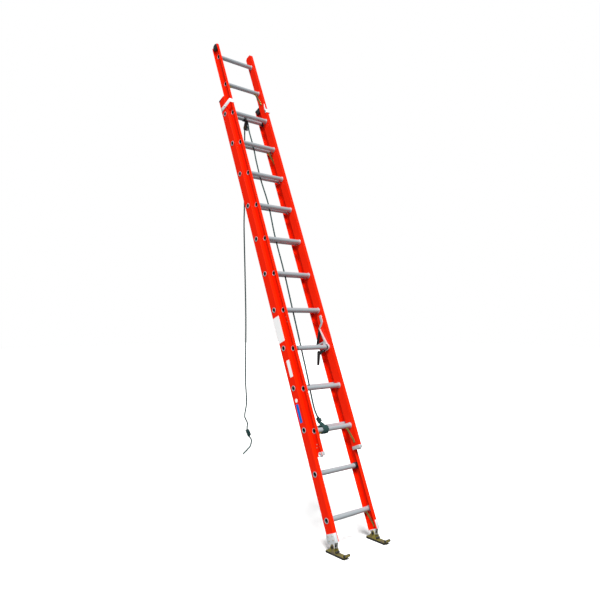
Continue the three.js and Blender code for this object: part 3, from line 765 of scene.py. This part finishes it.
# The guide brackets at the base's top: bent strap, enamelled white, round the fly's front
# flanges. Two rivets hold each to the web, and a bolt's head shows on the inside of its leg.
web_rivet = rivet("guide_rivet", 0.0052, 0.0024, rivet_metal)
for side, _ in SIDES:
    eased(f"{side}_guide", 0.0007, white_enamel, "base")
leg_face, guide_face = (corner.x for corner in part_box("right_guide"))
guide_bolt = rivet("guide_bolt", 0.0060, 0.0030, black_paint)
guide_bolt.data.transform(Matrix.Scale(-1, 4, (1, 0, 0)))
guide_bolt.data.flip_normals()
bolt_places = both_sides([(leg_face, 0.1015, 3.5566)])
joined("guide_bolts", copies(guide_bolt, bolt_places), "base")
bpy.data.objects.remove(guide_bolt)
guide_places = both_sides([(guide_face, -0.020, 3.5576), (guide_face, 0.022, 3.5576)])
joined("guide_rivets", copies(web_rivet, guide_places), "base")

# Rivets through the webs hold the braces, the lock plates and the fly's foot brackets.
web_places = both_sides([
    (fly_web, 0.079, 1.581), (fly_web, 0.079, 1.540), (fly_web, 0.060, 0.632),
    (fly_web, 0.084, 0.612), (fly_web, 0.050, 0.612),
])
joined("fly_web_rivets", copies(web_rivet, web_places), "fly")
bpy.data.objects.remove(web_rivet)

# The fly's ends: black plugs in its channels at the top, and bright brackets round its foot,
# with a cast disc inside each channel there.
for side, _ in SIDES:
    eased(f"{side}_fly_top_plug", 0.0010, black_plastic, "fly")
    eased(f"{side}_fly_foot_bracket", 0.0006, bright_zinc, "fly")

FOOT_DISC = 0.0175
channel_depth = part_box("right_fly_rail")[1].x - fly_web
disc_model = turned("disc_model", [
    (0.0052, 0.0004), (FOOT_DISC - 0.0012, 0.0004), (FOOT_DISC, 0.0016),
    (FOOT_DISC, channel_depth - 0.0022), (FOOT_DISC - 0.0014, channel_depth - 0.0008),
    (0.0110, channel_depth - 0.0008), (0.0100, channel_depth - 0.0030),
    (0.0052, channel_depth - 0.0030),
], 40)
disc_model.data.materials.append(cast_metal)
disc_places = both_sides([(fly_web, 0.0848, 0.559)])
joined("fly_foot_discs", copies(disc_model, disc_places), "fly")
bpy.data.objects.remove(disc_model)

# Glossy black caps on the upper ends of the base's rails: a lid, a plug down the channel, and a
# skirt over the back of the rail. They reach forward only as far as the fly leaves room.
RAIL_TOP = 3.6576
RAIL_DEPTH = 0.078
CAP_DEPTH = 0.042
SKIRT = 0.016
SKIRT_REACH = 0.026
LID = 0.0032
FLY_IN_BASE = 0.0280
cap_plastic = finish_of("glossy_cap", (0.016, 0.022, 0.024), (0.030, 0.038, 0.040),
                        0.26, 0, 500, 0.00008)


def bevelled_box(name, size, place, width):
    """A box with rounded edges, at its [x, ahead, along] place on the ladder."""
    bpy.ops.mesh.primitive_cube_add(size=1)
    box = bpy.context.object
    box.name = name
    box.data.transform(Matrix.Diagonal((*size, 1)))
    break_edges(box, width, segments=4)
    x, ahead, along = place
    box.data.transform(LEANED @ Matrix.Translation((x, -ahead, along)))
    return box


back = RAIL_DEPTH / 2
for side, sign in SIDES:
    x = sign * (base_web - base_flange / 2)
    lid = bevelled_box(
        f"{side}_base_lid", (base_flange, back + FLY_IN_BASE, LID),
        (x, (FLY_IN_BASE - back) / 2, RAIL_TOP + LID / 2 + 0.0002), 0.0014)
    plug = bevelled_box(
        f"{side}_base_plug",
        (base_flange - RAIL_WALL - 0.002, back - RAIL_WALL + FLY_IN_BASE - 0.0006, CAP_DEPTH),
        (sign * (base_web - RAIL_WALL / 2 - base_flange / 2),
         (FLY_IN_BASE - back + RAIL_WALL) / 2, RAIL_TOP - CAP_DEPTH / 2 + 0.0004), 0.0012)
    skirt = bevelled_box(
        f"{side}_base_skirt", (base_flange + 0.0016, SKIRT_REACH, SKIRT),
        (x, -back + SKIRT_REACH / 2 - 0.0012, RAIL_TOP + LID - SKIRT / 2 + 0.0006), 0.0030)
    for piece in (lid, plug, skirt):
        piece.data.materials.append(cap_plastic)
    joined(f"{side}_base_top_cap", [lid, plug, skirt], "base")

# The rung locks: a stamped plate on the fly's web, a triangular hook that turns on the fly's
# third rung, and a plastic finger below it. A torsion spring on the rung keeps each hook down.
# The faces at the hook's upper corner at the back are given the black finish.
BLACK_BEHIND = 0.052
BLACK_ABOVE = 0.060
lock_rung = middle("fly_rung_03")
for side, _ in SIDES:
    eased(f"{side}_lock_plate", 0.0006, bright_zinc, "fly")
    hook = eased(f"{side}_lock_hook", 0.0009, bright_zinc, f"{side}_lock")
    hook.data.materials.append(black_paint)
    # Faces far enough behind and above the rung take the second, black finish.
    for face in hook.data.polygons:
        from_rung = face.center - lock_rung
        behind, above = -from_rung.dot(AHEAD), from_rung.dot(UP_RAILS)
        if behind > BLACK_BEHIND and above > BLACK_ABOVE:
            face.material_index = 1
    eased(f"{side}_lock_finger", 0.0010, black_plastic, f"{side}_finger")

SPRING_WIRE = 0.0008
SPRING_RADIUS = 0.0189
SPRING_TURNS = 5
finger_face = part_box("right_lock_finger")[1].x
spring_points = wraps(Vector((finger_face - 0.0115, 0, 0)), Vector((finger_face - 0.0015, 0, 0)),
                      SPRING_RADIUS, SPRING_TURNS)
for side, sign in SIDES:
    curve = bpy.data.curves.new(f"{side}_spring_wire", "CURVE")
    curve.dimensions = "3D"
    curve.bevel_depth = SPRING_WIRE
    curve.bevel_resolution = 2
    curve.use_fill_caps = True
    spline = curve.splines.new("POLY")
    spline.points.add(len(spring_points) - 1)
    for point, place in zip(spline.points, spring_points):
        point.co = (sign * place.x, place.y, place.z, 1)
    wire = bpy.data.objects.new(f"{side}_lock_spring", curve)
    scene.collection.objects.link(wire)
    bpy.ops.object.select_all(action="DESELECT")
    wire.select_set(True)
    bpy.context.view_layer.objects.active = wire
    bpy.ops.object.convert(target="MESH")
    spring = bpy.context.view_layer.objects.active
    spring.name = f"{side}_lock_spring"
    spring.select_set(False)
    spring.data.transform(Matrix.Translation((0, lock_rung.y, lock_rung.z)) @ LEAN_TURN)
    spring.data.materials.append(black_paint)
    spring.data.shade_smooth()
    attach(spring, "fly")

# The pulley: a steel strap clamped on the base's top rung, and a block that swings from it with
# a grooved sheave on a riveted axle.
eased("pulley_hanger", 0.0006, black_paint, "base")
eased("pulley_block", 0.0007, black_paint, "pulley_block")
eased("pulley_axle", 0.0005, zinc, "pulley_block")
sheave_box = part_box("pulley_sheave")
half = (sheave_box[1].x - sheave_box[0].x) / 2
rim = (sheave_box[1].z - sheave_box[0].z) / 2
BORE = 0.0046
HUB = 0.0085
DISH_INNER = 0.0100
DISH_OUTER = 0.0185
FLANGE_INNER = 0.0200
DISH_DEPTH = 0.0016
GROOVE_TOP = 0.0245
GROOVE_DEPTH = 0.0059
GROOVE_HALF = 0.0048
GROOVE_STEPS = 8
groove = []
for k in range(GROOVE_STEPS + 1):
    angle = math.pi * k / GROOVE_STEPS
    groove.append((GROOVE_TOP - GROOVE_DEPTH * math.sin(angle), -GROOVE_HALF * math.cos(angle)))
flank = [
    (BORE, -half), (HUB, -half), (DISH_INNER, -half + DISH_DEPTH), (DISH_OUTER, -half + DISH_DEPTH),
    (FLANGE_INNER, -half), (rim - 0.0006, -half), (rim, -half + 0.0006),
    (rim - 0.0006, -half + 0.0014), (rim - 0.0035, -half + 0.0021),
]
other_flank = [(radius, -x) for radius, x in reversed(flank)]
sheave = turned("grooved_sheave", flank + groove + other_flank, 64)
sheave.data.transform(Matrix.Translation(sheave_axis))
sheave.data.materials.append(cast_metal)
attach(sheave, "pulley_sheave")
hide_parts("pulley_sheave")

# Labels on the left base rail: plain film, left blank, with rounded corners.
LABEL_FILM = 0.0003
LABEL_GAP = 0.00005


def label(name, low, high, ahead_low, ahead_high, material, corner=0.004):
    """A thin blank label on the left base rail's outer face, from low to high along it."""
    bpy.ops.mesh.primitive_plane_add(size=1, rotation=(0, math.pi / 2, 0))
    film = bpy.context.object
    film.name = name
    film.data.transform(Matrix.Rotation(math.pi / 2, 4, "Y"))
    film.matrix_world = Matrix.Identity(4)
    film.data.transform(Matrix.Diagonal((1, ahead_high - ahead_low, high - low, 1)))
    begin_edit(film)
    bpy.ops.mesh.bevel(offset=corner, segments=5, affect="VERTICES")
    bpy.ops.mesh.extrude_region_move(TRANSFORM_OT_translate={"value": (-LABEL_FILM, 0, 0)})
    bpy.ops.mesh.select_all(action="SELECT")
    bpy.ops.mesh.normals_make_consistent(inside=False)
    bpy.ops.object.mode_set(mode="OBJECT")
    film.select_set(False)
    film.data.transform(LEANED @ Matrix.Translation(
        (-base_web - LABEL_GAP, -(ahead_low + ahead_high) / 2, (low + high) / 2)))
    film.data.materials.append(material)
    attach(film, "base")


white_film = finish_of("white_film", (0.92, 0.93, 0.93), (0.97, 0.97, 0.97), 0.4, 0, 60, 0.00002)
blue_film = finish_of("blue_film", (0.0, 0.12, 0.56), (0.0, 0.16, 0.70),
                      0.4, 0, 60, 0.00002, specular=0.2)
label("blank_label_upper", 1.409, 1.607, -0.036, 0.037, white_film)
label("blank_label_middle", 1.136, 1.264, -0.004, 0.030, white_film)
label("blank_label_round", 0.951, 0.979, -0.016, 0.012, white_film, 0.0135)
label("blank_label_lower", 0.805, 0.939, -0.020, 0.008, blue_film)

# Floor and light: a plain pale studio. The camera sees the floor and the world as white, and
# they light the ladder with less than that.
FLOOR_BOUNCE = 0.18
WORLD_LIGHT = 0.17
bpy.ops.mesh.primitive_plane_add(size=60, location=(0, 0, -0.0005))
floor = bpy.context.object
floor.name = "studio_floor"
pale, tree, shader = shader_nodes("studio_white")
shader.inputs["Roughness"].default_value = 0.95
shader.inputs["Specular IOR Level"].default_value = 0.0
seen = tree.nodes.new("ShaderNodeLightPath").outputs["Is Camera Ray"]
floor_colour = blend_colour(tree, seen, (FLOOR_BOUNCE,) * 3, (1.0, 1.0, 1.0))
tree.links.new(floor_colour, shader.inputs["Base Color"])
floor.data.materials.append(pale)

world = bpy.data.worlds.new("studio") if scene.world is None else scene.world
scene.world = world
world.use_nodes = True
tree = world.node_tree
background = tree.nodes["Background"]
background.inputs["Color"].default_value = (1, 1, 1, 1)
background.inputs["Strength"].default_value = WORLD_LIGHT
backdrop = tree.nodes.new("ShaderNodeBackground")
backdrop.inputs["Color"].default_value = (1, 1, 1, 1)
backdrop.inputs["Strength"].default_value = 1.0
seen = tree.nodes.new("ShaderNodeLightPath").outputs["Is Camera Ray"]
either = tree.nodes.new("ShaderNodeMixShader")
tree.links.new(seen, either.inputs["Fac"])
tree.links.new(background.outputs["Background"], either.inputs[1])
tree.links.new(backdrop.outputs["Background"], either.inputs[2])
tree.links.new(either.outputs["Shader"], tree.nodes["World Output"].inputs["Surface"])


def light(name, kind, energy, direction):
    """A lamp that shines in a direction."""
    lamp = bpy.data.objects.new(name, bpy.data.lights.new(name, kind))
    lamp.data.energy = energy
    lamp.rotation_euler = direction.to_track_quat("-Z", "Y").to_euler()
    scene.collection.objects.link(lamp)
    return lamp


sun = light("overhead", "SUN", 5.2, Vector((0.36, 0.50, -0.95)))
sun.data.angle = math.radians(24)
KEY_PLACE = Vector((-4.5, -3.0, 3.5))
KEY_TARGET = Vector((0, 0, 1.8))
key = light("key", "AREA", 75, KEY_TARGET - KEY_PLACE)
key.location = KEY_PLACE
key.data.size = 2.5
scene.view_settings.view_transform = "Standard"
